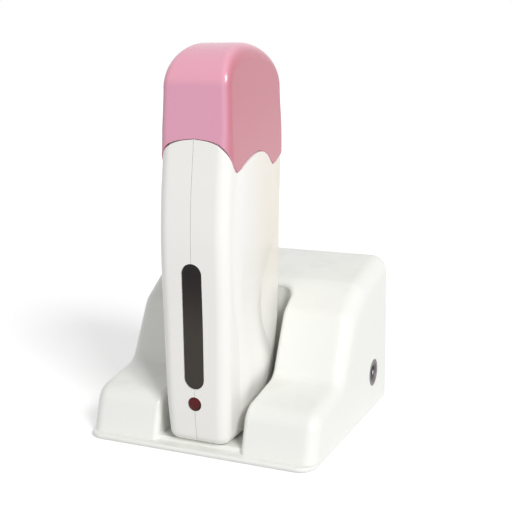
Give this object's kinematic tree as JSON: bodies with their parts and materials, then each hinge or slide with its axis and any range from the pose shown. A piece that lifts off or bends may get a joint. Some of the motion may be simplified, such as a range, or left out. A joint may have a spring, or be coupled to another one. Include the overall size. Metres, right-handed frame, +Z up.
{
  "type": "roll-on wax cartridge heater with dock",
  "caption": "Hand-held roll-on wax cartridge heater with a lift-off cap and front window, standing in the pocket of a sloped docking base.",
  "frame": {"origin": "on the ground under the middle of the bounding box, at the underside of the feet", "axes": "+Z up along the handset, the longest extent; +X to the right of the front, across the base, the shortest extent; +Y from the front with the window to the back"},
  "size_m": [0.13, 0.1356, 0.21],
  "materials": {
    "shell_plastic": "satin moulded white",
    "body_plastic": "satin moulded white",
    "cap_plastic": "glossy moulded pink",
    "smoked_window": "glossy dark tinted window",
    "red_lens": "glossy dark red lens",
    "black_plastic": "satin black moulding",
    "foot_rubber": "matt rubber",
    "steel": "plated steel",
    "contact_brass": "turned brass",
    "lead_sheath": "soft insulated lead",
    "board_green": "coated circuit board",
    "board_components": "moulded component bodies",
    "chamber_aluminium": "drawn aluminium",
    "heater_ceramic": "fired ceramic",
    "bottle_plastic": "translucent white moulding",
    "wax": "set amber wax",
    "roller_plastic": "smooth white moulding"
  },
  "bodies": {
    "base": {"base_shell": "shell_plastic", "base_plate": "shell_plastic", "base_feet": "foot_rubber", "base_screws": "steel", "power_inlet": "black_plastic", "inlet_pin": "steel", "dock_connector": "black_plastic", "dock_sleeves": "contact_brass", "base_leads": "lead_sheath"},
    "handset": {"housing_left": "body_plastic", "housing_right": "body_plastic", "window_lens": "smoked_window", "led_lens": "red_lens", "control_board": "board_green", "board_parts": "board_components", "heater_sleeve": "chamber_aluminium", "heater_left": "heater_ceramic", "heater_right": "heater_ceramic", "thermostat": "steel", "thermal_fuse": "heater_ceramic", "chamber_bezel": "body_plastic", "handset_inlet": "black_plastic", "handset_pins": "contact_brass", "housing_screws": "steel", "heater_leads": "lead_sheath"},
    "cartridge": {"cartridge_bottle": "bottle_plastic", "wax_fill": "wax", "roller_head": "roller_plastic", "roller_axle": "steel"},
    "roller_body": {"roller": "roller_plastic"},
    "cap_body": {"cap": "cap_plastic"}
  },
  "joints": [
    {"name": "handset_lift", "type": "slide", "parent": "base", "child": "handset", "axis": [0, 0, 1], "range_m": [0, 0.1]},
    {"name": "cartridge_lift", "type": "slide", "parent": "handset", "child": "cartridge", "axis": [0, 0, 1], "range_m": [0, 0.13]},
    {"name": "cap_lift", "type": "slide", "parent": "cartridge", "child": "cap_body", "axis": [0, 0, 1], "range_m": [0, 0.09]},
    {"name": "roller_spin", "type": "hinge", "parent": "cartridge", "child": "roller_body", "pos_m": [0, -0.029, 0.1703], "axis": [0, 1, 0], "continuous": true}
  ]
}
